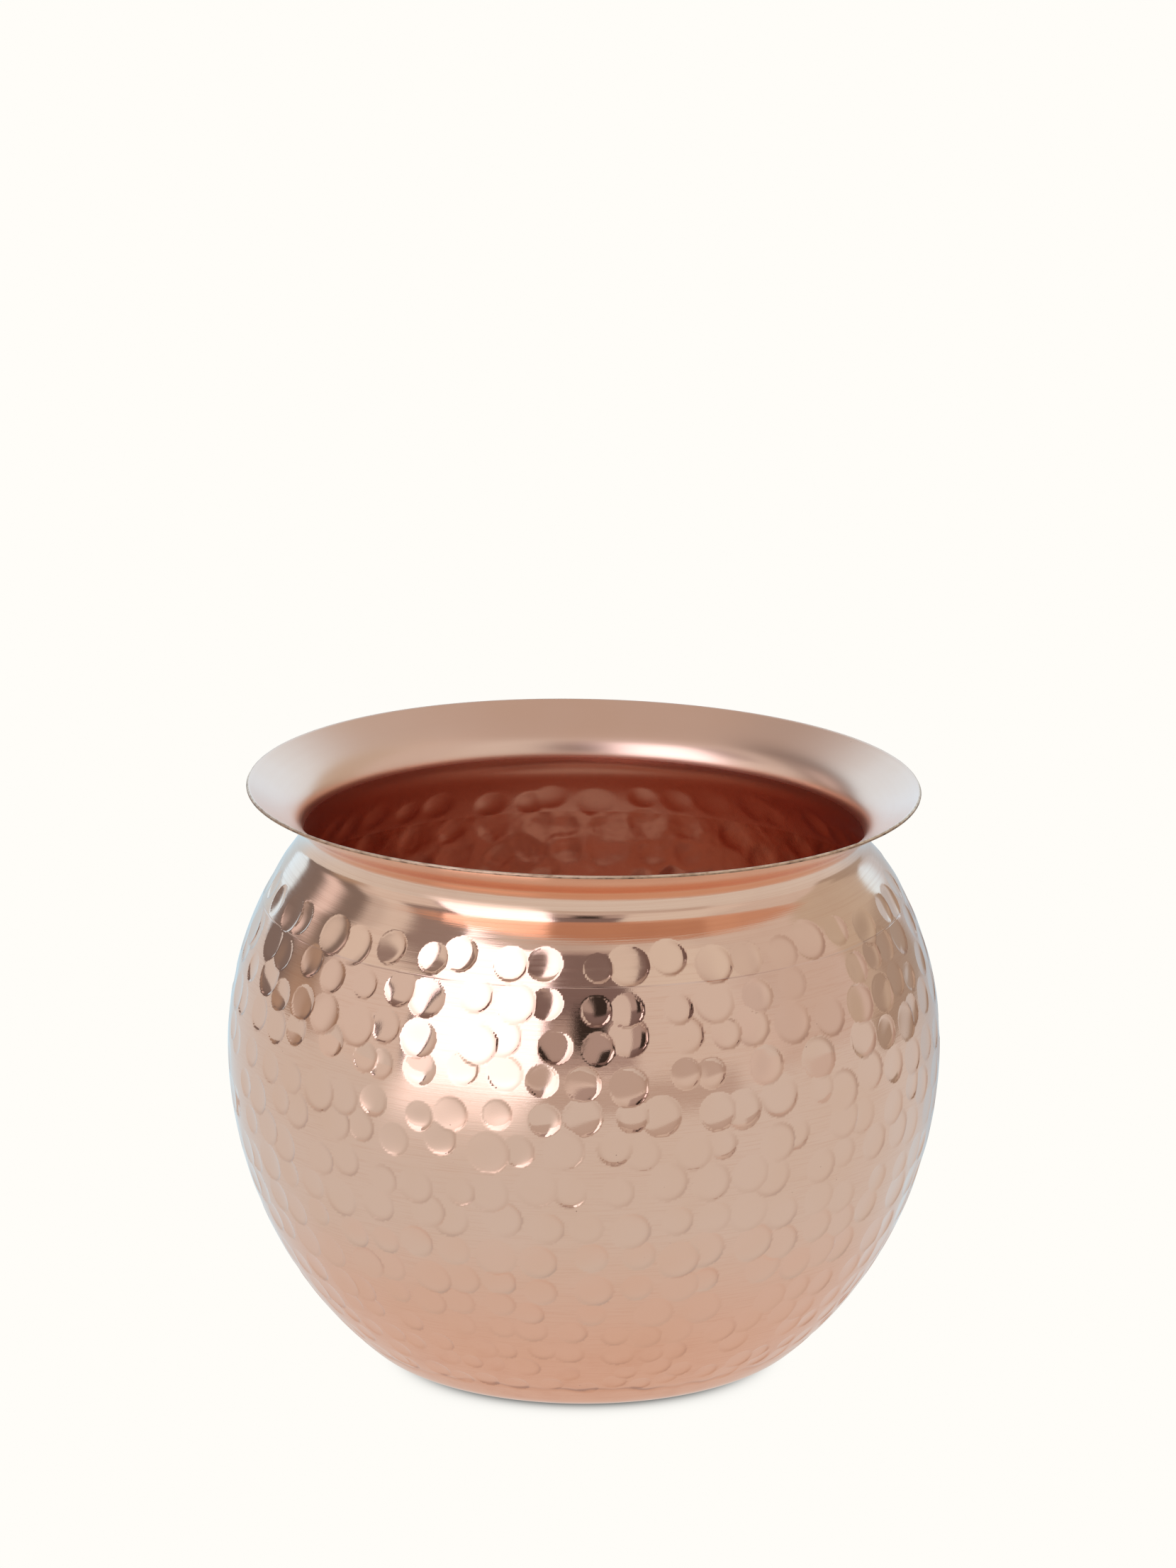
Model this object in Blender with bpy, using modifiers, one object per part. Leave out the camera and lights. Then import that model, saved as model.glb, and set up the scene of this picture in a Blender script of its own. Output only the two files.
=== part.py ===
"""A hammered copper kalash: a round bellied water pot with a narrow throat and a flared lip.

Two formed sheets, the bowl and the neck collar, meet edge to edge on the shoulder, and a thin
ring of brazing filler joins them. The pot stands on +Z, with its origin at the centre of its
flat base. All dimensions are in metres, and every outline is the sheet's outer side.
"""

from math import acos, atan2, cos, pi, radians, sin, sqrt, tan

import bpy

# Driving dimensions
SHEET = 0.0007  # thickness of the copper sheet
BELLY_RADIUS = 0.075
BELLY_HEIGHT = 0.0664
LOWER_SEMI_HEIGHT = 0.0814  # upright half axis of the ellipse below the belly
UPPER_SEMI_HEIGHT = 0.0722  # upright half axis of the ellipse above the belly
BASE_CORNER_HEIGHT = 0.003  # where the base corner runs out into the lower ellipse
SEAM_HEIGHT = 0.0985
SHOULDER_HEIGHT = 0.1045  # where the upper ellipse gives way to the neck's cone
THROAT_RADIUS = 0.0588
THROAT_HEIGHT = 0.112
THROAT_FILLET = 0.0041  # radius of the hollow curve under the throat
FLARE_RADIUS = 0.0054  # radius of the hollow curve above the throat
FLARE_ANGLE = radians(60)  # lean of the lip from upright
LIP_RADIUS = 0.0705

# The brazed seam
BRAZE_WIDTH = 0.0007
BRAZE_THICKNESS = 0.0009
CLEARANCE = 0.0003  # from the filler to each sheet's edge

# Fineness of the round shapes
STEPS_AROUND = 72
BELLY_SEGMENTS = 16
SHOULDER_SEGMENTS = 3
CORNER_SEGMENTS = 3
FLARE_SEGMENTS = 5
SHARP_ANGLE = radians(40)
MERGE_DISTANCE = 0.00001

UPRIGHT = pi


def clear_scene():
    for obj in list(bpy.data.objects):
        bpy.data.objects.remove(obj)


def new_collection(name):
    collection = bpy.data.collections.new(name)
    bpy.context.scene.collection.children.link(collection)
    return collection


def metal(name, color, roughness):
    material = bpy.data.materials.new(name)
    material.use_nodes = True
    shader = material.node_tree.nodes["Principled BSDF"]
    shader.inputs["Base Color"].default_value = (*color, 1.0)
    shader.inputs["Metallic"].default_value = 1.0
    shader.inputs["Roughness"].default_value = roughness
    return material


def arc(centre, radius, start, end, segments):
    """Points (radius, height) on a circle, from angle start to angle end."""
    angles = [start + (end - start) * i / segments for i in range(segments + 1)]
    return [(centre[0] + radius * cos(a), centre[1] + radius * sin(a)) for a in angles]


def ellipse_angle(height):
    """The body ellipse's parameter at a height: above 0 over the belly, below 0 under it."""
    rise = height - BELLY_HEIGHT
    semi = UPPER_SEMI_HEIGHT if rise > 0 else LOWER_SEMI_HEIGHT
    return atan2(rise / semi, sqrt(1 - (rise / semi) ** 2))


def body_point(angle):
    semi = UPPER_SEMI_HEIGHT if angle > 0 else LOWER_SEMI_HEIGHT
    return BELLY_RADIUS * cos(angle), BELLY_HEIGHT + semi * sin(angle)


def body_curve(top, bottom, segments):
    """The body's outline between two heights, from the top down."""
    start, end = ellipse_angle(top), ellipse_angle(bottom)
    return [body_point(start + (end - start) * i / segments) for i in range(segments + 1)]


def base_curve():
    """The rounded corner under the bowl, from the lower ellipse down to the flat base and the axis."""
    angle = ellipse_angle(BASE_CORNER_HEIGHT)
    lean = atan2(LOWER_SEMI_HEIGHT * cos(angle), -BELLY_RADIUS * sin(angle))
    corner = BASE_CORNER_HEIGHT / (1 - cos(lean))
    flat_radius = body_point(angle)[0] - corner * sin(lean)
    centre = (flat_radius, corner)
    return arc(centre, corner, lean - pi / 2, -pi / 2, CORNER_SEGMENTS)[1:] + [(0.0, 0.0)]


def throat_curve():
    """The lip, flare and throat, from the lip's edge down to the foot of the neck's cone."""
    flare_centre = (THROAT_RADIUS + FLARE_RADIUS, THROAT_HEIGHT)
    flare = arc(flare_centre, FLARE_RADIUS, UPRIGHT - FLARE_ANGLE, UPRIGHT, FLARE_SEGMENTS)
    flare_top = flare[0]
    lip = (LIP_RADIUS, flare_top[1] + (LIP_RADIUS - flare_top[0]) / tan(FLARE_ANGLE))

    fillet_centre = (THROAT_RADIUS + THROAT_FILLET, THROAT_HEIGHT)
    foot = body_point(ellipse_angle(SHOULDER_HEIGHT))
    across, down = foot[0] - fillet_centre[0], fillet_centre[1] - foot[1]
    reach = sqrt(across**2 + down**2)
    tangent = 2 * pi - atan2(down, across) - acos(THROAT_FILLET / reach)
    fillet = arc(fillet_centre, THROAT_FILLET, UPRIGHT, tangent, CORNER_SEGMENTS)
    return [lip] + flare + fillet[1:]


def turned_sheet(name, outline, thickness, material, collection):
    """One named solid: the outline turned about +Z and thickened inwards."""
    mesh = bpy.data.meshes.new(name)
    points = [(radius, 0.0, height) for radius, height in outline]
    mesh.from_pydata(points, [(i, i + 1) for i in range(len(points) - 1)], [])
    obj = bpy.data.objects.new(name, mesh)
    collection.objects.link(obj)

    turn = obj.modifiers.new("turn", "SCREW")
    turn.axis = "Z"
    turn.angle = 2 * pi
    turn.steps = STEPS_AROUND
    turn.render_steps = STEPS_AROUND
    turn.use_merge_vertices = True
    turn.merge_threshold = MERGE_DISTANCE

    wall = obj.modifiers.new("wall", "SOLIDIFY")
    wall.thickness = thickness
    wall.offset = -1
    wall.use_even_offset = True

    apply_modifiers(obj)
    obj.data.materials.append(material)
    return obj


def apply_modifiers(obj):
    """Replaces the outline by the solid that its modifiers make, shaded smooth with crisp rims."""
    graph = bpy.context.evaluated_depsgraph_get()
    outline = obj.data
    solid = bpy.data.meshes.new_from_object(obj.evaluated_get(graph))
    obj.modifiers.clear()
    obj.data = solid
    bpy.data.meshes.remove(outline)
    solid.name = obj.name
    solid.shade_smooth()
    solid.set_sharp_from_angle(angle=SHARP_ANGLE)


def build_bowl(material, collection):
    """The base and the wall, hammered from one sheet up to the seam on the shoulder."""
    top = SEAM_HEIGHT - BRAZE_WIDTH / 2 - CLEARANCE
    outline = body_curve(top, BASE_CORNER_HEIGHT, BELLY_SEGMENTS) + base_curve()
    return turned_sheet("hammered_bowl", outline, SHEET, material, collection)


def build_collar(material, collection):
    """The shoulder ring, neck and flared lip, spun from a second sheet."""
    bottom = SEAM_HEIGHT + BRAZE_WIDTH / 2 + CLEARANCE
    outline = throat_curve() + body_curve(SHOULDER_HEIGHT, bottom, SHOULDER_SEGMENTS)
    return turned_sheet("neck_collar", outline, SHEET, material, collection)


def build_braze(material, collection):
    """The filler between the two sheets' edges, standing a little proud inside the pot."""
    top, bottom = SEAM_HEIGHT + BRAZE_WIDTH / 2, SEAM_HEIGHT - BRAZE_WIDTH / 2
    return turned_sheet("shoulder_braze", body_curve(top, bottom, 1), BRAZE_THICKNESS, material, collection)


def main():
    clear_scene()
    pot = new_collection("kalash_pot")
    hammered_copper = metal("hammered_copper", (0.93, 0.61, 0.50), 0.12)
    spun_copper = metal("spun_copper", (0.93, 0.61, 0.50), 0.2)
    braze_alloy = metal("braze_alloy", (0.85, 0.62, 0.36), 0.35)
    build_bowl(hammered_copper, pot)
    build_collar(spun_copper, pot)
    build_braze(braze_alloy, pot)


main()
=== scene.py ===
"""Polished, hammered copper water pot on a pale studio floor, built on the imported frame.

Lengths are in metres and angles in radians unless a name says otherwise.
"""

from math import acos, atan2, cos, pi, radians, sin, sqrt, tan

import bpy
import numpy as np
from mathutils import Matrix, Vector


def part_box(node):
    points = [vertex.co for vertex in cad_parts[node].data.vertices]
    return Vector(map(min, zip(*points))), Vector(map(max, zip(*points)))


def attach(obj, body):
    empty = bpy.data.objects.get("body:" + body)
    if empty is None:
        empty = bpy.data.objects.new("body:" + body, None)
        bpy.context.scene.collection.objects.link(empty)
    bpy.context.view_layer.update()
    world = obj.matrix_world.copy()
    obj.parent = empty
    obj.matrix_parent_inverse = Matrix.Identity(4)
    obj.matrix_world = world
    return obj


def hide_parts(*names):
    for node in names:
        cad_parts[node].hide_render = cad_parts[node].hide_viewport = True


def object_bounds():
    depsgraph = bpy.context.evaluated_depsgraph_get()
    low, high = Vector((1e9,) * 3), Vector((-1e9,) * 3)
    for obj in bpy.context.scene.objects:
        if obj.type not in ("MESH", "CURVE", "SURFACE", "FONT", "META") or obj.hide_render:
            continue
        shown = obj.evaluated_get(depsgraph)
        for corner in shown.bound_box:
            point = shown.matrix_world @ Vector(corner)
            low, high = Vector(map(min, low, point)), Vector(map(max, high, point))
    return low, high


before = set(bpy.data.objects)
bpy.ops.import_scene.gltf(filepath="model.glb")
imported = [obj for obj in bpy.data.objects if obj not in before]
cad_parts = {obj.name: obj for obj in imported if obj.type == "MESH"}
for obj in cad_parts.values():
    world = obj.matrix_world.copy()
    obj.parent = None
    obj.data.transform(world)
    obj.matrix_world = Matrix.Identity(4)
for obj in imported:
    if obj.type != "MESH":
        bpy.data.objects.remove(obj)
CAD_LOW, CAD_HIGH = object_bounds()
BOWL_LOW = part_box("hammered_bowl")[0]
COLLAR_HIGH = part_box("neck_collar")[1]
BRAZE_LOW, BRAZE_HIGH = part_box("shoulder_braze")

MM = 0.001

# Driving sizes of the turned outline of the sheet's outer side, as the frame has them.
SHEET = 0.7 * MM
BELLY_RADIUS = 75.0 * MM
BELLY_HEIGHT = 66.4 * MM
LOWER_SEMI_HEIGHT = 81.4 * MM
UPPER_SEMI_HEIGHT = 72.2 * MM
BASE_CORNER_HEIGHT = 3.0 * MM
SEAM_HEIGHT = (BRAZE_LOW.z + BRAZE_HIGH.z) / 2
SHOULDER_HEIGHT = 104.5 * MM
THROAT_RADIUS = 58.8 * MM
THROAT_HEIGHT = 112.0 * MM
THROAT_FILLET = 4.1 * MM
FLARE_RADIUS = 5.4 * MM
FLARE_ANGLE = radians(60)
LIP_RADIUS = COLLAR_HIGH.x
LIP_BEVEL = 0.12 * MM
SHADED_EDGE_SHARE = 0.42  # part of the cut edge, from its lower side, darkened with painted shade

# Mesh density: points in each ring, and the spacing of the rings along the outline.
COLUMNS = 1120
INNER_COLUMNS = 560
BASE_COLUMNS = (280, 70)
FINE_ROW = 0.42 * MM
NECK_ROW = 0.4 * MM
INNER_ROW = 0.9 * MM
BASE_RING_SHARES = (0.95, 0.6, 0.25, 0.1)  # rings of the flat base, as shares of its radius

# Hammer blows. A mark is a shallow bowl inside a steeper wall, and is deeper on the side that it leans to.
BLOW_RADIUS = 3.9 * MM
BLOW_DEPTH = 0.25 * MM
BLOW_STEP = 0.01 * MM
BLOW_WALL = 0.042 * MM
BLOW_WALL_POWER = 7
BLOW_RIM = 0.5 * MM  # width over which a mark comes in at its edge
BLOW_SKEW = 0.6
BLOW_WALL_SKEW = 0.9
BLOW_HEADING = radians(35)
BLOW_HEADING_SPREAD = 0.45

# Ranges that each blow's own size, depth, step, wall and lean are drawn from, as shares of the values above.
RADIUS_RANGE = (0.82, 1.18)
DEPTH_RANGE = (0.65, 1.25)
STEP_RANGE = (0.3, 1.7)
WALL_RANGE = (0.35, 1.5)
SKEW_RANGE = (0.6, 1.35)

# Where the blows fall. They lie in rows, which are rings round the pot.
BLOWS_AT_BELLY = 54
FEWEST_BLOWS = 8
BLOWS_MISSED = 0.04
BLOW_ROW_PITCH = 7.6 * MM
BLOW_ROW_WAVE = 0.6 * MM
BLOW_ROW_WAVES = 3
BLOW_SCATTER = 1.3 * MM
ROW_PITCH_RANGE = (0.95, 1.05)
ROW_PHASE_RANGE = (-0.2, 0.2)  # added to the stagger of half the gap between two blows, in gaps
BLOW_SHIFT_RANGE = (-0.3, 0.3)  # sideways, in gaps
FIRST_BLOW_HEIGHT = 101.8 * MM
LAST_BLOW_HEIGHT = 4.5 * MM
BLOW_SHARE_AT_BASE = 0.72  # size of the lowest marks against those of the belly
BLOWS_GROW_FROM = 6 * MM
BLOWS_GROW_OVER = 34 * MM

# The dark line in each mark, dirt all round plus painted shade on the side it leans to, how untouched metal
# is told, and the bumps inside.
DARK_LINE_INSET = 0.3 * MM  # from the edge of the mark
DARK_LINE_WIDTH = 0.6 * MM
DARK_LINE_ALL_ROUND = 0.3  # part of the dark line that is the same all round (dirt), while the rest follows the lean (painted shade)
UNTOUCHED_LEVEL = -0.0005 * MM  # metal higher than this was missed by every blow
INNER_BUMP = 1.4  # height of a bump inside against the depth of its mark outside
INNER_BUMP_SKEW = 0.4

# The groove round the base.
CREASE_DEPTH = 0.12 * MM
CREASE_WIDTH = 0.7 * MM
CREASE_RISE = 5.0 * MM  # along the outline, from the top of the base corner
CREASE_WANDER = 1.1 * MM
CREASE_WAVES = ((5, 1.0, 0.45), (11, 2.0, 0.3), (23, 0.0, 0.2), (47, 0.7, 0.25))  # count, start, size
CREASE_UNEVENNESS = 0.35
CREASE_BEATS = ((9, 0.5), (14, 1.7))  # count and start of the waves that its depth follows
CREASE_RIM = 1.4  # value of the rim attribute at the bottom of the groove, which paints shade into it

rng = np.random.default_rng(11)


# ---------------------------------------------------------------- outline


def arc(centre, radius, start, end, segments):
    angles = np.linspace(start, end, segments + 1)
    return [(centre[0] + radius * cos(a), centre[1] + radius * sin(a)) for a in angles]


def ellipse_angle(height):
    rise = height - BELLY_HEIGHT
    semi = UPPER_SEMI_HEIGHT if rise > 0 else LOWER_SEMI_HEIGHT
    return atan2(rise / semi, sqrt(1 - (rise / semi) ** 2))


def body_point(angle):
    semi = UPPER_SEMI_HEIGHT if angle > 0 else LOWER_SEMI_HEIGHT
    return BELLY_RADIUS * cos(angle), BELLY_HEIGHT + semi * sin(angle)


def dense_outline():
    """Outer side of the sheet from the lip down to the middle of the base, as (radius, height) points."""
    flare_centre = (THROAT_RADIUS + FLARE_RADIUS, THROAT_HEIGHT)
    flare = arc(flare_centre, FLARE_RADIUS, pi - FLARE_ANGLE, pi, 200)
    lip_height = flare[0][1] + (LIP_RADIUS - flare[0][0]) / tan(FLARE_ANGLE)
    lip = (LIP_RADIUS, lip_height)
    fillet_centre = (THROAT_RADIUS + THROAT_FILLET, THROAT_HEIGHT)
    foot = body_point(ellipse_angle(SHOULDER_HEIGHT))
    across = foot[0] - fillet_centre[0]
    down = fillet_centre[1] - foot[1]
    reach = sqrt(across**2 + down**2)
    tangent = 2 * pi - atan2(down, across) - acos(THROAT_FILLET / reach)
    fillet = arc(fillet_centre, THROAT_FILLET, pi, tangent, 200)
    low = ellipse_angle(BASE_CORNER_HEIGHT)
    body = [body_point(a) for a in np.linspace(ellipse_angle(SHOULDER_HEIGHT), low, 3000)]
    lean = atan2(LOWER_SEMI_HEIGHT * cos(low), -BELLY_RADIUS * sin(low))
    corner = BASE_CORNER_HEIGHT / (1 - cos(lean))
    corner_centre = (body_point(low)[0] - corner * sin(lean), corner)
    base = arc(corner_centre, corner, lean - pi / 2, -pi / 2, 300)
    return np.array([lip] + flare + fillet[1:] + body + base[1:] + [(0.0, 0.0)])


def evenly(points, step):
    """The same line with points at even steps, and each one's distance along it."""
    lengths = np.concatenate([[0], np.cumsum(np.hypot(*np.diff(points, axis=0).T))])
    places = np.linspace(0, lengths[-1], int(lengths[-1] / step) + 1)
    return np.stack([np.interp(places, lengths, points[:, k]) for k in (0, 1)], 1), places


def softened(points, step, spread, keep):
    """Rounds the bends of an outline over this spread, and keeps a length of it at each end as it is."""
    reach = int(3 * spread / step)
    weights = np.exp(-0.5 * (np.arange(-reach, reach + 1) * step / spread) ** 2)
    weights /= weights.sum()
    padded = np.pad(points, ((reach, reach), (0, 0)), "edge")
    smooth = np.stack([np.convolve(padded[:, k], weights, "valid") for k in (0, 1)], 1)
    ends = np.minimum(np.arange(len(points)), np.arange(len(points))[::-1]) * step / keep
    share = np.clip(ends - 0.5, 0, 1)[:, None]
    return points * (1 - share) + smooth * share


OUTLINE_STEP = 0.05 * MM
OUTER_SOFTENING = (0.7 * MM, 4 * MM)
INNER_SOFTENING = (2.2 * MM, 5 * MM)
OUTLINE, ALONG = evenly(dense_outline(), OUTLINE_STEP)
OUTLINE = softened(OUTLINE, OUTLINE_STEP, *OUTER_SOFTENING)
SLOPE = np.gradient(OUTLINE, axis=0)
SLOPE /= np.hypot(*SLOPE.T)[:, None]
NORMAL = np.stack([-SLOPE[:, 1], SLOPE[:, 0]], 1)


def at(along):
    """Point and outward normal of the outline at these distances along it."""
    point = np.stack([np.interp(along, ALONG, OUTLINE[:, k]) for k in (0, 1)], -1)
    normal = np.stack([np.interp(along, ALONG, NORMAL[:, k]) for k in (0, 1)], -1)
    return point, normal / np.hypot(normal[..., 0], normal[..., 1])[..., None]


INSIDE = softened(OUTLINE - SHEET * NORMAL, OUTLINE_STEP, *INNER_SOFTENING)


def inner_at(along):
    """Point of the inner side of the sheet, whose bends are rounder than those of the outer side."""
    return np.stack([np.interp(along, ALONG, INSIDE[:, k]) for k in (0, 1)], -1)


def along_at_height(height):
    """Distance along the outline where the body passes this height, below the throat."""
    below = np.argmax(OUTLINE[:, 1] < THROAT_HEIGHT - MM)
    return float(np.interp(-height, -OUTLINE[below:, 1], ALONG[below:]))


SEAM_ALONG = along_at_height(SEAM_HEIGHT)
THROAT_ALONG = float(ALONG[np.argmin(OUTLINE[: len(OUTLINE) // 4, 0])])
CORNER_ALONG = along_at_height(BASE_CORNER_HEIGHT)
FLAT_ALONG = along_at_height(0.02 * MM)


# ------------------------------------------------------------ hammer blows


def smoothstep(x):
    x = np.clip(x, 0, 1)
    return x * x * (3 - 2 * x)


def make_blows():
    """Staggered rings of blows from the shoulder down to the edge of the base, in the order they were struck.

    Each blow leans, so it bites on its right and lower side and runs out on the other.
    """
    rows = []
    place = along_at_height(FIRST_BLOW_HEIGHT)
    last = along_at_height(LAST_BLOW_HEIGHT)
    phase = 0.0
    while place < last:
        radius, level = at(place)[0]
        grown = smoothstep((level - BLOWS_GROW_FROM) / BLOWS_GROW_OVER)
        share = BLOW_SHARE_AT_BASE + (1 - BLOW_SHARE_AT_BASE) * grown
        count = max(FEWEST_BLOWS, round(BLOWS_AT_BELLY * radius / BELLY_RADIUS / share))
        pitch = 2 * pi / count
        phase += pitch * (0.5 + rng.uniform(*ROW_PHASE_RANGE))
        drift = rng.uniform(0, 2 * pi)
        row = []
        for k in range(count):
            angle = phase + k * pitch + rng.uniform(*BLOW_SHIFT_RANGE) * pitch
            wave = BLOW_ROW_WAVE * sin(BLOW_ROW_WAVES * k * pitch + drift)
            if rng.uniform() < BLOWS_MISSED:
                continue
            row.append(
                dict(
                    angle=angle,
                    along=place + wave + rng.uniform(-1, 1) * BLOW_SCATTER,
                    radius=BLOW_RADIUS * share * rng.uniform(*RADIUS_RANGE),
                    depth=BLOW_DEPTH * share**2 * rng.uniform(*DEPTH_RANGE),
                    step=BLOW_STEP * rng.uniform(*STEP_RANGE),
                    wall=BLOW_WALL * rng.uniform(*WALL_RANGE),
                    skew=BLOW_SKEW * rng.uniform(*SKEW_RANGE),
                    heading=BLOW_HEADING + rng.normal(0, BLOW_HEADING_SPREAD),
                )
            )
        rows.append(row[::-1])
        place += BLOW_ROW_PITCH * share * rng.uniform(*ROW_PITCH_RANGE)
    return [blow for row in rows[::-1] for blow in row]


BLOWS = make_blows()


def struck(along, columns, stamp):
    """Calls stamp for each blow in turn with the patch of the grid of rows and columns that it covers."""
    radius = at(along)[0][:, 0]
    column_angle = 2 * pi / columns
    for blow in BLOWS:
        size = blow["radius"]
        rows = np.nonzero(np.abs(along - blow["along"]) < size)[0]
        if not len(rows):
            continue
        half = int(size / (radius[rows].min() * column_angle)) + 2
        middle = int(round(blow["angle"] / column_angle))
        steps = np.arange(middle - half, middle + half + 1)
        across = (steps * column_angle - blow["angle"])[None, :] * radius[rows][:, None]
        down = (along[rows] - blow["along"])[:, None]
        lean = (across * cos(blow["heading"]) + down * sin(blow["heading"])) / size
        stamp(blow, np.ix_(rows, steps % columns), np.hypot(across, down) / size, lean)


def hammered(along, columns):
    """Height, slopes across and down, the mask of dirt and painted shade inside each rim, and untouched
    metal, on a grid of rows and columns.

    The slopes come from a grid twice as fine, so that the rims of the blows stay crisp.
    """
    fine = np.interp(np.arange(2 * len(along) - 1) / 2, np.arange(len(along)), along)
    height = np.zeros((len(fine), 2 * columns))
    rim = np.zeros_like(height)

    def stamp(blow, patch, off, lean):
        bowl = blow["depth"] * (1 - off**2) * (1 + blow["skew"] * lean)
        wall = blow["wall"] * (1 - off**BLOW_WALL_POWER) * (1 + BLOW_WALL_SKEW * lean)
        inside = (1 - off) * blow["radius"]
        share = smoothstep(inside / BLOW_RIM)
        height[patch] = height[patch] * (1 - share) - (blow["step"] + bowl + wall) * share
        # Dark line inside the rim: dirt all round, and painted shade on the side the mark leans to.
        line = np.exp(-(((inside - DARK_LINE_INSET) / DARK_LINE_WIDTH) ** 2))
        edge = line * np.clip(DARK_LINE_ALL_ROUND + (1 - DARK_LINE_ALL_ROUND) * lean, 0, 1)
        rim[patch] = np.where(off < 1, edge * min(1, blow["wall"] / BLOW_WALL), rim[patch])

    struck(fine, 2 * columns, stamp)
    radius = at(fine)[0][:, 0][:, None]
    down = np.gradient(height, fine, axis=0)
    across = (np.roll(height, -1, 1) - np.roll(height, 1, 1)) / (2 * pi / columns * radius)
    flat = (height > UNTOUCHED_LEVEL).astype(float)
    return [grid[::2, ::2] for grid in (height, across, down, rim, flat)]


def bump_heights(along, columns):
    """The same blows seen from inside, as low soft bumps."""
    height = np.zeros((len(along), columns))

    def stamp(blow, patch, off, lean):
        dome = (1 - np.clip(off, 0, 1) ** 2) * (1 + INNER_BUMP_SKEW * lean)
        height[patch] = np.minimum(height[patch], -INNER_BUMP * blow["depth"] * dome)

    struck(along, columns, stamp)
    return height


# ------------------------------------------------------------- mesh rings

LIP_TILT = 1.0 * MM
TILT_START = 100 * MM
TILT_FULL = 112 * MM
UNEVEN_START = 108 * MM
UNEVEN_OVER = 8 * MM
LIP_UNEVEN = 0.12 * MM
LIP_WAVES = (3, 0.8)  # count and start


def lean_neck(points, normals=None):
    """Tilts the neck, so that it sits a little lower on the right, and makes the lip slightly uneven."""
    x, y, z = points.T
    rise = (z - TILT_START) / (TILT_FULL - TILT_START)
    share = smoothstep(rise)
    slant = -LIP_TILT / LIP_RADIUS
    reached = smoothstep((z - UNEVEN_START) / UNEVEN_OVER)
    count, start = LIP_WAVES
    uneven = LIP_UNEVEN * np.sin(count * np.arctan2(y, x) + start) * reached
    moved = np.stack([x, y, z + share * slant * x + uneven], 1)
    if normals is None:
        return moved, None
    inside = np.clip(rise, 0, 1)
    growth = 6 * inside * (1 - inside) / (TILT_FULL - TILT_START)
    stretch = 1 + growth * slant * x
    nx, ny, nz = normals.T
    turned = np.stack([nx - share * slant * nz / stretch, ny, nz / stretch], 1)
    return moved, turned / np.linalg.norm(turned, axis=1)[:, None]


class Ring:
    """One ring of points round the axis, with normals, the mask of dirt and painted shade in the marks and
    groove, and untouched metal if known.
    """

    def __init__(self, radius, height, columns, normals=None, rim=None, flat=None):
        angles = np.arange(columns) * 2 * pi / columns
        radius = np.broadcast_to(radius, columns)
        height = np.broadcast_to(height, columns)
        points = np.stack([radius * np.cos(angles), radius * np.sin(angles), height], 1)
        self.points, turned = lean_neck(points, normals)
        self.normals = np.zeros((columns, 3)) if turned is None else turned
        self.rim = np.zeros(columns) if rim is None else rim
        self.flat = np.ones(columns) if flat is None else flat

    def __len__(self):
        return len(self.points)


def outer_rings(along, columns, extra=0.0):
    """Rings of the hammered outer side. extra is added to the height of the surface."""
    points, normals = at(along)
    height, across, down, rim, flat = hammered(along, columns)
    extra = np.broadcast_to(extra, height.shape)
    height = height + extra
    # A sunken strip raises the rim mask: painted shade in the base groove, and a darker brazed line.
    rim = rim - CREASE_RIM * extra / CREASE_DEPTH
    down = down + np.gradient(extra, along, axis=0)
    angles = np.arange(columns) * 2 * pi / columns
    out = np.stack([np.cos(angles), np.sin(angles), np.zeros(columns)], 1)
    side = np.stack([-np.sin(angles), np.cos(angles), np.zeros(columns)], 1)
    up = np.array([0.0, 0.0, 1.0])
    rings = []
    for k, ((radius, level), (nr, nz)) in enumerate(zip(points, normals)):
        outward = nr * out + nz * up
        along_down = nz * out - nr * up
        slanted = outward - across[k][:, None] * side - down[k][:, None] * along_down
        slanted /= np.linalg.norm(slanted, axis=1)[:, None]
        lift = height[k]
        rings.append(Ring(radius + lift * nr, level + lift * nz, columns, slanted, rim[k], flat[k]))
    return rings


def inner_rings(along, columns):
    """Rings of the inner side, with the hammer marks as bumps."""
    points, normals = inner_at(along), at(along)[1]
    heights = bump_heights(along, columns)
    return [
        Ring(radius + lift * nr, level + lift * nz, columns)
        for (radius, level), (nr, nz), lift in zip(points, normals, heights)
    ]


def joined(first, second, start_first, start_second):
    """Faces between two rings, where one may have a whole number of times the columns of the other."""
    many, few = len(first), len(second)
    if many == few:
        a = np.arange(many)
        b = (a + 1) % many
        ends = [start_first + a, start_first + b, start_second + b, start_second + a]
        return [tuple(face) for face in np.stack(ends, 1)]
    if few > many:
        flipped = joined(second, first, start_second, start_first)
        return [face[::-1] for face in flipped]
    ratio = many // few
    faces = []
    for j in range(few):
        near = start_second + j
        far = start_second + (j + 1) % few
        middle = (ratio + 1) // 2
        for i in range(ratio):
            a = start_first + (j * ratio + i) % many
            b = start_first + (j * ratio + i + 1) % many
            faces.append((a, b, near if i < middle else far))
        faces.append((start_first + (j * ratio + middle) % many, far, near))
    return faces


SHARP_ANGLE = radians(50)


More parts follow.
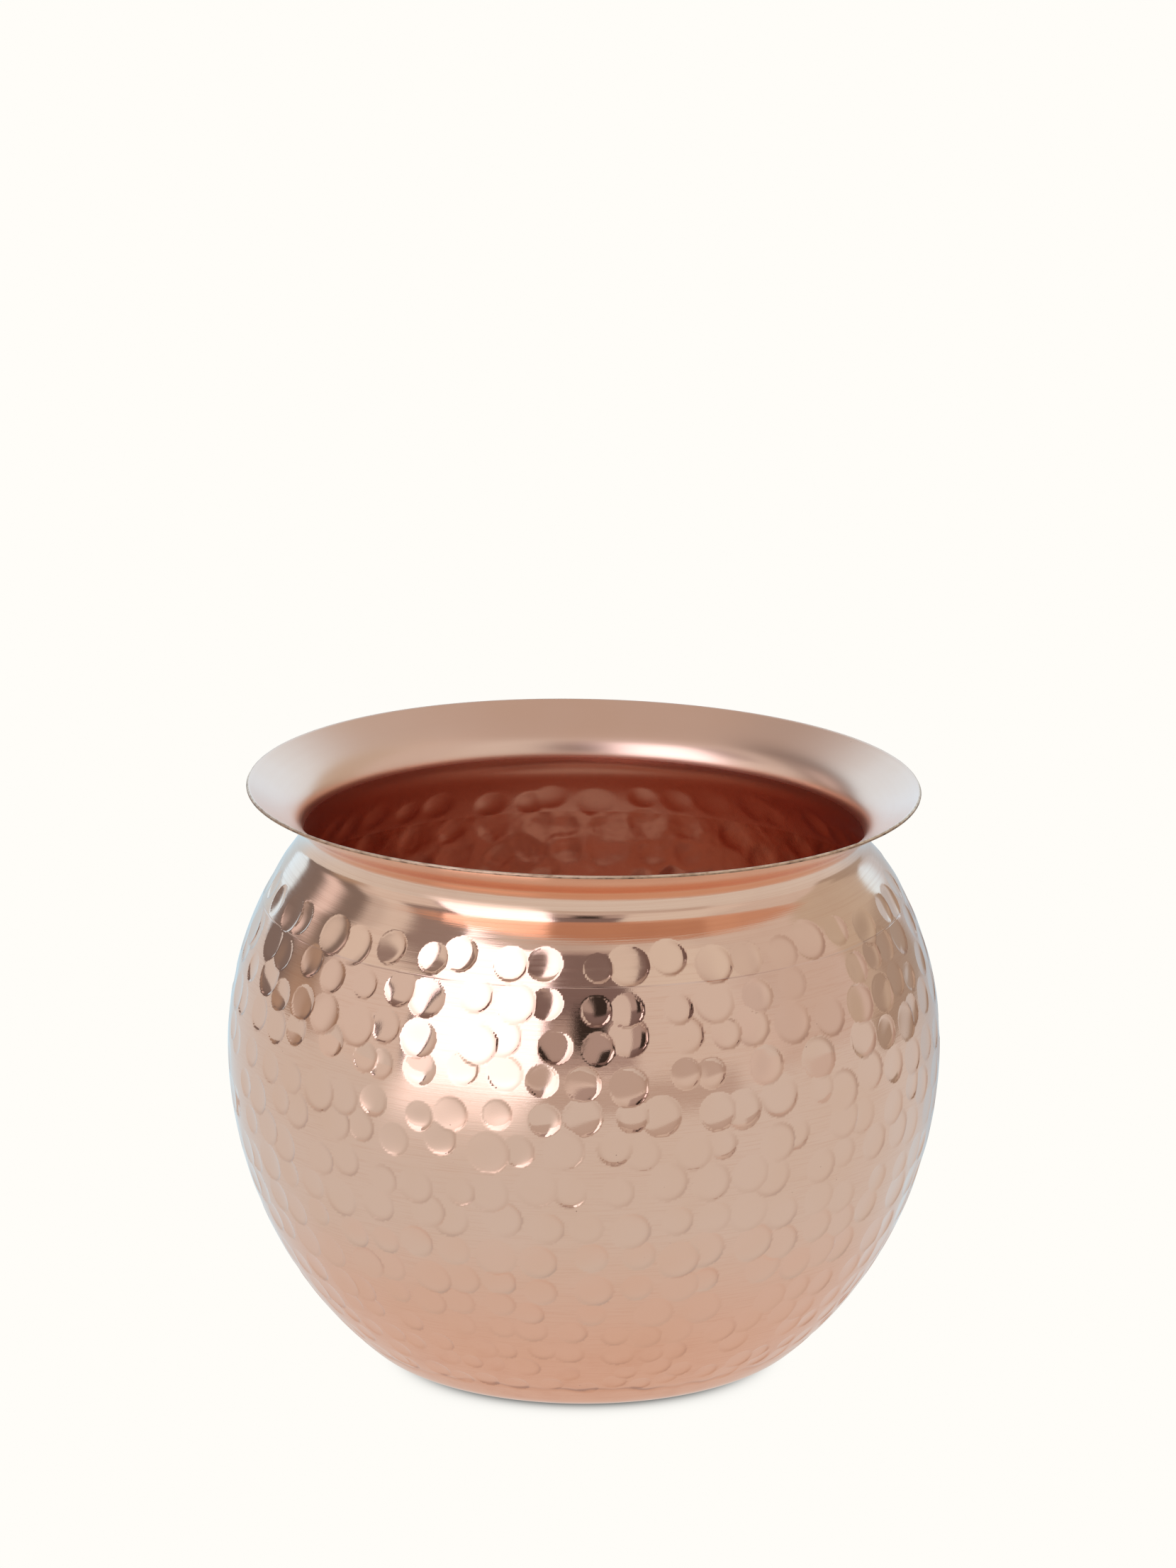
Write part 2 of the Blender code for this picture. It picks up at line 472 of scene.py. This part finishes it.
def mesh_piece(name, rings, bands, materials, closed, caps=()):
    """A turned body from rings of points. bands gives the material of each strip between two rings.

    closed joins the last ring to the first. caps gives the ring, centre and facing of each filled end.
    Material 0 is the hammered or turned outer side, which keeps the normals worked out for it.
    """
    points = np.concatenate([r.points for r in rings])
    normals = np.concatenate([r.normals for r in rings])
    rims = np.concatenate([r.rim for r in rings])
    flats = np.concatenate([r.flat for r in rings])
    starts = np.concatenate([[0], np.cumsum([len(r) for r in rings])])
    faces, kinds = [], []
    pairs = list(zip(range(len(rings) - 1), range(1, len(rings))))
    if closed:
        pairs.append((len(rings) - 1, 0))
    for k, (a, b) in enumerate(pairs):
        new = joined(rings[a], rings[b], int(starts[a]), int(starts[b]))
        faces += new
        kinds += [bands[k]] * len(new)
    for which, centre, outward in caps:
        middle = len(points)
        points = np.concatenate([points, [centre]])
        normals = np.concatenate([normals, [(0, 0, 0)]])
        rims = np.concatenate([rims, [0.0]])
        flats = np.concatenate([flats, [1.0]])
        count = len(rings[which])
        start = int(starts[which])
        for j in range(count):
            a, b = start + j, start + (j + 1) % count
            faces.append((middle, a, b) if outward else (middle, b, a))
            kinds.append(bands[0] if which == 0 else bands[-1])
    mesh = bpy.data.meshes.new(name)
    mesh.from_pydata(points.tolist(), [], faces)
    mesh.polygons.foreach_set("material_index", np.array(kinds, dtype=np.int32))
    for material in materials:
        mesh.materials.append(material)
    for key, values in (("rim", rims), ("flat", flats)):
        attribute = mesh.attributes.new(key, "FLOAT", "POINT")
        attribute.data.foreach_set("value", values.astype(np.float32))
    mesh.shade_smooth()
    mesh.set_sharp_from_angle(angle=SHARP_ANGLE)
    corners = np.empty(len(mesh.loops), dtype=np.int32)
    mesh.loops.foreach_get("vertex_index", corners)
    sizes = np.empty(len(mesh.polygons), dtype=np.int32)
    mesh.polygons.foreach_get("loop_total", sizes)
    on_outside = np.repeat(np.array(kinds) == 0, sizes)
    mesh.normals_split_custom_set(np.where(on_outside[:, None], normals[corners], 0.0))
    mesh.update()
    piece = bpy.data.objects.new(name, mesh)
    bpy.context.scene.collection.objects.link(piece)
    return piece


def spaced(start, end, step):
    return np.linspace(start, end, max(2, int(round((end - start) / step)) + 1))


# -------------------------------------------------------------- materials


class Nodes:
    """A short way to write node trees."""

    def __init__(self, tree):
        self.tree = tree

    def add(self, kind, **settings):
        node = self.tree.nodes.new(kind)
        for key, value in settings.items():
            setattr(node, key, value)
        return node

    def link(self, source, target):
        if isinstance(source, (int, float, tuple)):
            target.default_value = source
        else:
            self.tree.links.new(source, target)

    def math(self, operation, a, b=None, c=None, clamp=False):
        node = self.add("ShaderNodeMath", operation=operation, use_clamp=clamp)
        for socket, value in zip(node.inputs, (a, b, c)):
            if value is not None:
                self.link(value, socket)
        return node.outputs[0]

    def ramp(self, value, start, end, low=0.0, high=1.0, smooth=True):
        node = self.add("ShaderNodeMapRange", interpolation_type="SMOOTHSTEP" if smooth else "LINEAR")
        for socket, item in zip(node.inputs[:5], (value, start, end, low, high)):
            self.link(item, socket)
        return node.outputs[0]

    def mix(self, share, a, b, blend="MIX"):
        node = self.add("ShaderNodeMix", data_type="RGBA", blend_type=blend)
        self.link(share, node.inputs["Factor"])
        for socket, value in ((node.inputs[6], a), (node.inputs[7], b)):
            self.link(value + (1.0,) if isinstance(value, tuple) and len(value) == 3 else value, socket)
        return node.outputs[2]

    def noise(self, vector, scale, detail=2.0, roughness=0.5):
        node = self.add("ShaderNodeTexNoise")
        self.link(vector, node.inputs["Vector"])
        node.inputs["Scale"].default_value = scale
        node.inputs["Detail"].default_value = detail
        node.inputs["Roughness"].default_value = roughness
        return node.outputs["Fac"]


COPPER = (0.87, 0.50, 0.355)
WARM_COPPER = (0.86, 0.485, 0.335)
LIP_COPPER = (0.92, 0.535, 0.385)
WARM_LIP_COPPER = (0.91, 0.52, 0.365)
SPUN_COPPER = (0.91, 0.53, 0.365)
INNER_COPPER = (0.77, 0.44, 0.335)
THROAT_COPPER = (0.83, 0.525, 0.42)
CUT_COPPER = (0.88, 0.58, 0.40)
DARK_CUT = (0.52, 0.28, 0.17)
# painted shade on the lower side of the cut edge
LOWER_EDGE_SHADE = (0.15, 0.075, 0.045)
BRAZE = (0.84, 0.50, 0.37)
RIM_TARNISH = (0.74, 0.36, 0.23)
# dirt and painted shade for the dark line in the hammer marks
MARK_DIRT_AND_SHADE = (0.55, 0.25, 0.15)
SPECK = (0.22, 0.10, 0.06)
# painted shade in the base groove
CREASE_SHADE = (0.40, 0.24, 0.20)

# Scales of the noise in the metals, per metre.
CLOUD_SCALE = 45.0
GRAIN_SCALE = 4500.0
MOTTLE_SCALE = 130.0
RIPPLE_SCALE = 240.0
SPECK_SCALE = 230.0

# Values of each noise between which its effect comes in.
CLOUD_RISE = (0.35, 0.75)
LINE_RISE = (0.45, 0.7)
LINE_ROUGH_RISE = (0.35, 0.75)
MOTTLE_RISE = (0.45, 0.7)
SPECKED_RISE = (0.5, 0.62)  # of the cloud noise, so that specks keep to some places
SPECK_FADE = (0.02, 0.05)  # from a cell's centre, as shares of its size

# Start and end in height, and share at each, of the mottled tarnish and of the dirt and painted shade in the
# marks.
MOTTLE_BY_HEIGHT = (0.004, 0.034, 0.32, 0.0)
DIRT_AND_SHADE_BY_HEIGHT = (0.045, 0.085, 0.3, 0.8)
# Painted shade in the base groove, by the rim value: start, end, and share at each.
CREASE_SHADE_BY_RIM = (0.6, 1.4, 0.0, 0.6)
SPECK_SHARE = 0.6
CLOUD_ROUGHNESS = 0.6
LINE_SLANT = 0.4  # keeps lines apart where the metal lies flat


def turned_coordinates(n, squash):
    """Object coordinates, the same squashed so that noise over them runs in fine rings, and the height."""
    place = n.add("ShaderNodeTexCoord").outputs["Object"]
    split = n.add("ShaderNodeSeparateXYZ")
    n.link(place, split.inputs[0])
    x, y, z = split.outputs
    radius = n.math("SQRT", n.math("ADD", n.math("MULTIPLY", x, x), n.math("MULTIPLY", y, y)))
    level = n.math("MULTIPLY_ADD", radius, LINE_SLANT, z)
    joined_up = n.add("ShaderNodeCombineXYZ")
    n.link(n.math("MULTIPLY", x, squash), joined_up.inputs[0])
    n.link(n.math("MULTIPLY", y, squash), joined_up.inputs[1])
    n.link(level, joined_up.inputs[2])
    return place, joined_up.outputs[0], z


def bump(n, height, distance, normal=None):
    """The normal of a surface raised by height times distance."""
    node = n.add("ShaderNodeBump")
    node.inputs["Strength"].default_value = 1.0
    node.inputs["Distance"].default_value = distance
    n.link(height, node.inputs["Height"])
    if normal is not None:
        n.link(normal, node.inputs["Normal"])
    return node.outputs[0]


def aged_and_shaded_colour(n, place, z, cloud, clean, brushed):
    """Adds tarnish near the base and in the lines, dirt and painted shade in the marks, painted shade in the
    groove, and dark specks.
    """
    rim = n.add("ShaderNodeAttribute", attribute_name="rim").outputs["Fac"]
    patches = n.ramp(n.noise(place, MOTTLE_SCALE, 3.0, 0.6), *MOTTLE_RISE)
    mottled = n.math("MULTIPLY", patches, n.ramp(z, *MOTTLE_BY_HEIGHT))
    worn = n.mix(brushed, n.mix(mottled, clean, RIM_TARNISH), RIM_TARNISH)
    # dirt all round each mark, and painted shade on its leaning side
    dirt_and_shade = n.math("MULTIPLY", n.math("MINIMUM", rim, 1.0), n.ramp(z, *DIRT_AND_SHADE_BY_HEIGHT))
    aged_and_shaded = n.mix(dirt_and_shade, worn, MARK_DIRT_AND_SHADE)
    # painted shade in the base groove
    aged_and_shaded = n.mix(n.ramp(rim, *CREASE_SHADE_BY_RIM), aged_and_shaded, CREASE_SHADE)
    cells = n.add("ShaderNodeTexVoronoi")
    cells.inputs["Scale"].default_value = SPECK_SCALE
    n.link(place, cells.inputs["Vector"])
    spots = n.ramp(cells.outputs["Distance"], *SPECK_FADE, 1.0, 0.0)
    specks = n.math("MULTIPLY", spots, n.ramp(cloud, *SPECKED_RISE))
    return n.mix(n.math("MULTIPLY", specks, SPECK_SHARE), aged_and_shaded, SPECK)


def metal(name, colour, second, roughness, spread, lines, grain, cloud_scale=CLOUD_SCALE, ripple=0.0):
    """Metal with fine lines where the hammer did not fall, a light grain and a little variation.

    The colour drifts between colour and second, and the roughness from roughness up by spread.
    """
    material = bpy.data.materials.new(name)
    material.use_nodes = True
    tree = material.node_tree
    tree.nodes.clear()
    n = Nodes(tree)
    line_scale, squash, relief, streaks = lines
    place, turned, z = turned_coordinates(n, squash)
    fine_lines = n.noise(turned, line_scale, 4.0, 0.7)
    cloud = n.noise(place, cloud_scale, 3.0, 0.6)
    flat = n.add("ShaderNodeAttribute", attribute_name="flat").outputs["Fac"]
    clean = n.mix(n.ramp(cloud, *CLOUD_RISE), colour, second)
    brushed = n.math("MULTIPLY", n.math("MULTIPLY", n.ramp(fine_lines, *LINE_RISE), flat), streaks)
    rough = n.ramp(fine_lines, *LINE_ROUGH_RISE, roughness, roughness + spread, smooth=False)
    rough = n.math("MULTIPLY_ADD", cloud, spread * CLOUD_ROUGHNESS, rough)
    normal = bump(n, n.math("MULTIPLY", fine_lines, flat), relief)
    normal = bump(n, n.noise(place, GRAIN_SCALE, 1.0, 0.5), grain, normal)
    if ripple:
        normal = bump(n, n.noise(place, RIPPLE_SCALE, 1.0, 0.5), ripple, normal)
    shader = n.add("ShaderNodeBsdfPrincipled")
    shader.inputs["Metallic"].default_value = 1.0
    n.link(aged_and_shaded_colour(n, place, z, cloud, clean, brushed), shader.inputs["Base Color"])
    n.link(rough, shader.inputs["Roughness"])
    n.link(normal, shader.inputs["Normal"])
    output = n.add("ShaderNodeOutputMaterial")
    n.link(shader.outputs[0], output.inputs[0])
    return material


# Scale, sideways squash, relief and darkness of the fine lines left by each way of finishing.
BRUSHED = (3200.0, 0.03, 0.013 * MM, 0.3)
TURNED = (2600.0, 0.004, 0.014 * MM, 0.26)
FAINT = (1300.0, 0.012, 0.0004 * MM, 0.02)
FILED = (1300.0, 0.03, 0.010 * MM, 0.2)

HAMMERED = metal("polished_hammered_copper", COPPER, WARM_COPPER, 0.03, 0.04, BRUSHED, 0.0022 * MM)
SPUN = metal("polished_spun_copper", SPUN_COPPER, WARM_COPPER, 0.045, 0.08, TURNED, 0.0016 * MM)
SATIN = metal("satin_lip_copper", LIP_COPPER, WARM_LIP_COPPER, 0.28, 0.03, FAINT, 0.0008 * MM)
THROAT = metal("dull_throat_copper", THROAT_COPPER, THROAT_COPPER, 0.23, 0.03, FAINT, 0.0008 * MM)
INNER = metal(
    "dull_inner_copper", INNER_COPPER, INNER_COPPER, 0.2, 0.03, FAINT, 0.0008 * MM, ripple=0.26 * MM
)
CUT_EDGE = metal("cut_copper_edge", CUT_COPPER, DARK_CUT, 0.35, 0.15, FILED, 0.004 * MM, 420.0)
# Painted shade for the lower side of the cut edge.
SHADED_LOWER_EDGE = metal("painted_shade_lower_edge", DARK_CUT, LOWER_EDGE_SHADE, 0.35, 0.15, FILED, 0.002 * MM, 500.0)
BRAZE_METAL = metal("brazed_joint_metal", BRAZE, COPPER, 0.08, 0.1, FILED, 0.0016 * MM)


# ----------------------------------------------------------------- pieces

BRAZE_VISIBLE = 0.36 * MM
EDGE_RELIEF = 0.045 * MM
EDGE_PROFILE = np.array([0, 0.7, 1, 0.7, 0])  # across the brazed line
EDGE_WAVES = (7, 11, 17, 29)
EDGE_WAVE_START = 2.3


def base_crease(along, columns):
    """The shallow uneven groove where the flattened base meets the hammered side."""
    angles = np.arange(columns) * 2 * pi / columns
    wander = sum(size * np.sin(count * angles + start) for count, start, size in CREASE_WAVES)
    centre = CORNER_ALONG + CREASE_WANDER * wander - CREASE_RISE
    off = (along[:, None] - centre[None, :]) / CREASE_WIDTH
    beat = np.prod([np.sin(count * angles + start) for count, start in CREASE_BEATS], axis=0)
    strength = 1 - CREASE_UNEVENNESS + CREASE_UNEVENNESS * beat
    return -CREASE_DEPTH * strength[None, :] * np.exp(-(off**2))


def make_bowl():
    """The hammered sheet: its outer side, the flat base and the inner side."""
    edge = SEAM_ALONG + BRAZE_VISIBLE / 2
    wall = spaced(edge, FLAT_ALONG, FINE_ROW)
    outside = outer_rings(wall, COLUMNS, base_crease(wall, COLUMNS))
    flat_radius = at(FLAT_ALONG)[0][0]
    floor_columns = [COLUMNS, BASE_COLUMNS[0], BASE_COLUMNS[1], BASE_COLUMNS[1]]
    floor_rings = [
        Ring(flat_radius * share, BOWL_LOW.z, columns)
        for share, columns in zip(BASE_RING_SHARES, floor_columns)
    ]
    inner = inner_rings(spaced(edge, FLAT_ALONG, INNER_ROW), INNER_COLUMNS)
    inner_floor = [Ring(flat_radius * share, SHEET, BASE_COLUMNS[1]) for share in BASE_RING_SHARES[1::2]]
    rings = floor_rings[::-1] + outside[::-1] + inner + inner_floor
    flat_count = len(floor_rings)
    outer_count = flat_count + len(outside)
    bands = [2] * flat_count + [0] * (len(outside) - 1) + [2] + [1] * (len(rings) - outer_count - 1)
    return mesh_piece(
        "bowl_skin",
        rings,
        bands,
        [HAMMERED, INNER, SPUN],
        closed=False,
        caps=[(0, (0, 0, BOWL_LOW.z), False), (len(rings) - 1, (0, 0, SHEET), True)],
    )


def make_collar():
    """The spun sheet: shoulder ring, throat and lip, with the cut edge round the lip."""
    edge = SEAM_ALONG - BRAZE_VISIBLE / 2
    outside = outer_rings(spaced(LIP_BEVEL, edge, NECK_ROW), COLUMNS)
    inner = inner_rings(spaced(LIP_BEVEL, edge, INNER_ROW / 2), INNER_COLUMNS)
    (radius, level), (nr, nz) = at(0.0)
    depths = (LIP_BEVEL, SHADED_EDGE_SHARE * SHEET, SHEET - LIP_BEVEL)
    rim = [Ring(radius - depth * nr, level - depth * nz, COLUMNS) for depth in depths]
    rings = outside[::-1] + rim + inner
    lip_count = int((THROAT_ALONG - LIP_BEVEL) / (edge - LIP_BEVEL) * len(inner))
    throat = [1] * lip_count + [3] * (len(inner) - lip_count)
    # The outer bevel and the lower share of the cut edge get painted shade, the rest of it the cut metal.
    bands = [0] * (len(outside) - 1) + [4, 4, 2, 2] + throat
    return mesh_piece("collar_skin", rings, bands, [SPUN, SATIN, CUT_EDGE, THROAT, SHADED_LOWER_EDGE], closed=True)


def make_braze():
    """The brazed line between the two sheets, filed almost flush."""
    half = BRAZE_VISIBLE / 2
    places = np.linspace(SEAM_ALONG - half, SEAM_ALONG + half, len(EDGE_PROFILE))
    angles = np.arange(COLUMNS) * 2 * pi / COLUMNS
    patchy = sum(np.sin(count * (angles + EDGE_WAVE_START)) for count in EDGE_WAVES) / len(EDGE_WAVES)
    groove = -EDGE_RELIEF * smoothstep(0.5 + patchy) * EDGE_PROFILE[:, None]
    outside = outer_rings(places, COLUMNS, groove)
    inner = inner_rings(places, INNER_COLUMNS)
    rings = outside[::-1] + inner
    bands = [0] * (len(outside) - 1) + [1] * (len(inner) + 1)
    return mesh_piece("braze_line", rings, bands, [BRAZE_METAL, THROAT], closed=True)


bowl = make_bowl()
collar = make_collar()
braze = make_braze()
for piece, node, slot in (
    (bowl, "hammered_bowl", "hammered_copper"),
    (collar, "neck_collar", "spun_copper"),
    (braze, "shoulder_braze", "braze_alloy"),
):
    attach(piece, "root")
    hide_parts(node)


# ------------------------------------------------------- floor and studio

PAPER = (1.0, 0.982, 0.939)
ROOM = (0.67, 0.772, 0.833)
CEILING = (0.515, 0.55, 0.56)
REAR = (0.82, 1.29, 1.66)
REAR_RIGHT_LOW = (0.58, 0.72, 0.82)
FLOOR_REAR = (0.60, 0.825, 0.96)
FLOOR_RIGHT = (0.52, 0.63, 0.70)
FLAG_LOW = (0.42, 0.45, 0.43)
FLOOR_NEAR = (0.73, 0.645, 0.585)
FLOOR_FAR = (0.685, 0.845, 0.93)
FLOOR_GLOW = (1.25, 1.5, 1.75)
HORIZON = (0.55, 0.61, 0.64)
FLOOR_HALF = 30.0
SHADOW_RADIUS = 41.0 * MM
SHADOW_WIDTH = 3.1 * MM
SHADOW_SIDE_WIDTH = 1.3 * MM
SHADOW_DEPTH = 0.8
SHADOW_SIDE_DEPTH = 0.35
SHADOW_POWER = 1.5
SHADOW_FACING = (0.15, 0.9)  # cosines of the azimuth between its side width and its full width
FLOOR_NEAR_TO_FAR = (0.02, 0.13)

# Each patch of light that the floor gives the pot: azimuths in degrees from the camera's side, soft edge,
# distances from the axis between which it comes in, colour. A later patch covers an earlier one.
FLOOR_PATCHES = [
    ("softbox glow", -60, -18, 7, 0.16, 0.8, FLOOR_GLOW),
    ("rear, right half", 148, 200, 10, 0.10, 0.24, FLOOR_REAR),
    ("rear, left half", -200, -148, 10, 0.10, 0.24, FLOOR_REAR),
    ("right", 130, 200, 20, 0.07, 0.18, FLOOR_RIGHT),
    ("foot of the right flag", 105, 146, 3, 0.5, 0.75, FLAG_LOW),
    ("far edge of the table", -14, 50, 3, 0.7, 0.9, HORIZON),
]


def window(n, value, low, high, soft):
    """1 between low and high and 0 outside, with soft edges."""
    rise = n.ramp(value, low - soft, low + soft)
    fall = n.ramp(value, high - soft, high + soft, 1.0, 0.0)
    return n.math("MULTIPLY", rise, fall)


def azimuth_of(n, x, y):
    """Degrees round the axis from the camera's side, positive to the right."""
    return n.math("DEGREES", n.math("ARCTAN2", x, n.math("MULTIPLY", y, -1.0)))


def contact_shadow(n, away, azimuth):
    """1 on bare paper, and less where the pot's foot shades it. The shadow is widest in front and behind."""
    facing = n.ramp(n.math("ABSOLUTE", n.math("COSINE", n.math("RADIANS", azimuth))), *SHADOW_FACING)
    width = n.math("MULTIPLY_ADD", facing, SHADOW_WIDTH - SHADOW_SIDE_WIDTH, SHADOW_SIDE_WIDTH)
    depth = n.math("MULTIPLY_ADD", facing, SHADOW_DEPTH - SHADOW_SIDE_DEPTH, SHADOW_SIDE_DEPTH)
    beyond = n.math("MAXIMUM", n.math("SUBTRACT", away, SHADOW_RADIUS), 0.0)
    falling = n.math("POWER", n.math("DIVIDE", beyond, width), SHADOW_POWER)
    fade = n.math("EXPONENT", n.math("MULTIPLY", falling, -1.0))
    return n.math("SUBTRACT", 1.0, n.math("MULTIPLY", fade, depth))


def make_paper():
    """Pale paper with a contact shadow for the camera, and patches of light for the pot."""
    material = bpy.data.materials.new("pale_studio_paper")
    material.use_nodes = True
    tree = material.node_tree
    tree.nodes.clear()
    n = Nodes(tree)
    split = n.add("ShaderNodeSeparateXYZ")
    n.link(n.add("ShaderNodeNewGeometry").outputs["Position"], split.inputs[0])
    x, y = split.outputs[:2]
    away = n.math("SQRT", n.math("ADD", n.math("MULTIPLY", x, x), n.math("MULTIPLY", y, y)))
    azimuth = azimuth_of(n, x, y)
    seen = n.mix(1.0, PAPER, contact_shadow(n, away, azimuth), "MULTIPLY")
    lit = n.mix(n.ramp(away, *FLOOR_NEAR_TO_FAR), FLOOR_NEAR, FLOOR_FAR)
    for _, left, right, soft, start, full, colour in FLOOR_PATCHES:
        share = n.math("MULTIPLY", window(n, azimuth, left, right, soft), n.ramp(away, start, full))
        lit = n.mix(share, lit, colour)
    camera_ray = n.add("ShaderNodeLightPath").outputs["Is Camera Ray"]
    glow = n.add("ShaderNodeEmission")
    n.link(n.mix(camera_ray, lit, seen), glow.inputs["Color"])
    output = n.add("ShaderNodeOutputMaterial")
    n.link(glow.outputs[0], output.inputs[0])
    return material


def make_floor():
    mesh = bpy.data.meshes.new("floor")
    corners = [(-1, -1), (1, -1), (1, 1), (-1, 1)]
    points = [(x * FLOOR_HALF, y * FLOOR_HALF, CAD_LOW.z) for x, y in corners]
    mesh.from_pydata(points, [], [(0, 1, 2, 3)])
    mesh.materials.append(make_paper())
    floor = bpy.data.objects.new("studio_floor", mesh)
    bpy.context.scene.collection.objects.link(floor)


# Each patch of the studio's walls: azimuths from the camera's side, positive to the right, elevations,
# soft edge, colour. The angles are in degrees. A later patch covers an earlier one.
PATCHES = [
    ("right wall near", 16, 60, -6, 60, 10, (0.70, 0.83, 0.89)),
    ("right wall far", 66, 110, -10, 60, 14, (0.64, 0.73, 0.78)),
    ("left wall", -96, -55, -10, 50, 4, (0.725, 0.855, 0.924)),
    ("left flag", -147, -104, -10, 60, 3, (0.23, 0.243, 0.26)),
    ("left flag shine", -127, -117, 12, 34, 4, (0.82, 0.89, 1.0)),
    ("brown corner", -118, -98, -3, 12, 7, (0.44, 0.43, 0.39)),
    ("right flag", 105, 146, -6, 50, 2.5, (0.55, 0.62, 0.60)),
    ("right flag low", 118, 146, -8, 12, 4, FLAG_LOW),
    ("dark top left", -84, -59, 31, 56, 3, (0.31, 0.32, 0.35)),
    ("softbox frame", -61, -11.5, 4, 55, 1, (0.11, 0.115, 0.13)),
    ("softbox", -59, -13.5, 3, 54, 1.0, (1.95, 2.3, 2.9)),
    ("softbox foot", -58, -13.5, -8, 8, 4, (1.65, 2.1, 2.6)),
    ("behind the camera", -12.5, 17, 8, 58, 1.2, (0.45, 0.475, 0.515)),
    ("dark doorway", -12.5, 17, 27, 52, 1.2, (0.22, 0.21, 0.235)),
    ("tripod head", -4, 8, 16, 30, 1.5, (0.04, 0.04, 0.04)),
    ("table edge", -14, 50, -3, 5, 2, HORIZON),
]
CEILING_RISE = (55, 70)
REAR_EDGE = (140, 144)
REAR_TOP_RISE = (28, 45)
REAR_LOW_RISE = (2, 10)
REAR_LOW_SIDE = (-20, 20)
ROOM_CLOUD_SCALE = 3.2
ROOM_CLOUD_RISE = (0.3, 0.7)
ROOM_UNEVENNESS = (0.86, 1.1)


def make_studio():
    """The walls and ceiling of the studio as the pot sees them, and plain paper for the camera."""
    world = bpy.data.worlds.new("studio")
    bpy.context.scene.world = world
    world.use_nodes = True
    tree = world.node_tree
    tree.nodes.clear()
    n = Nodes(tree)
    toward = n.add("ShaderNodeTexCoord").outputs["Generated"]
    split = n.add("ShaderNodeSeparateXYZ")
    n.link(toward, split.inputs[0])
    x, y, z = split.outputs
    azimuth = azimuth_of(n, x, y)
    elevation = n.math("DEGREES", n.math("ARCSINE", z))
    uneven = n.ramp(n.noise(toward, ROOM_CLOUD_SCALE, 1.0, 0.5), *ROOM_CLOUD_RISE, *ROOM_UNEVENNESS)
    colour = n.mix(1.0, ROOM, uneven, "MULTIPLY")
    for _, left, right, low, high, soft, value in PATCHES:
        across = window(n, azimuth, left, right, soft)
        upright = window(n, elevation, low, high, soft)
        colour = n.mix(n.math("MULTIPLY", across, upright), colour, value)
    colour = n.mix(n.ramp(elevation, *CEILING_RISE), colour, CEILING)
    behind = n.ramp(n.math("ABSOLUTE", azimuth), *REAR_EDGE)
    low = n.ramp(elevation, *REAR_LOW_RISE, 1.0, 0.0)
    low_right = n.math("MULTIPLY", low, n.ramp(azimuth, *REAR_LOW_SIDE))
    rear = n.mix(low_right, REAR, REAR_RIGHT_LOW)
    rear = n.mix(n.ramp(elevation, *REAR_TOP_RISE), rear, CEILING)
    colour = n.mix(behind, colour, rear)
    camera_ray = n.add("ShaderNodeLightPath").outputs["Is Camera Ray"]
    colour = n.mix(camera_ray, colour, PAPER)
    sky = n.add("ShaderNodeBackground")
    n.link(colour, sky.inputs["Color"])
    output = n.add("ShaderNodeOutputWorld")
    n.link(sky.outputs[0], output.inputs[0])


make_floor()
make_studio()

# ----------------------------------------------------------------- camera

CAMERA_DISTANCE = 1.5
CAMERA_ELEVATION = radians(17.56)
TARGET = Vector((0, 0, 62 * MM))
LOOK_DOWN = radians(15.34)
LOOK_RIGHT = radians(0.035)
LENS_MM = 163.02
SENSOR_MM = 36
MOST_BOUNCES = 16
MOST_GLOSSY_BOUNCES = 12

camera_data = bpy.data.cameras.new("camera")
camera_data.sensor_width = SENSOR_MM
camera_data.sensor_fit = "AUTO"
camera_data.lens = LENS_MM
camera_data.clip_start = 0.05
camera_data.clip_end = 100
camera = bpy.data.objects.new("camera", camera_data)
bpy.context.scene.collection.objects.link(camera)
toward_camera = Vector((0, -cos(CAMERA_ELEVATION), sin(CAMERA_ELEVATION)))
camera.location = TARGET + CAMERA_DISTANCE * toward_camera
ahead = Vector((sin(LOOK_RIGHT) * cos(LOOK_DOWN), cos(LOOK_RIGHT) * cos(LOOK_DOWN), -sin(LOOK_DOWN)))
camera.rotation_mode = "QUATERNION"
camera.rotation_quaternion = ahead.to_track_quat("-Z", "Y")
bpy.context.scene.camera = camera

scene = bpy.context.scene
scene.view_settings.view_transform = "Standard"
scene.view_settings.look = "None"
scene.cycles.max_bounces = MOST_BOUNCES
scene.cycles.glossy_bounces = MOST_GLOSSY_BOUNCES
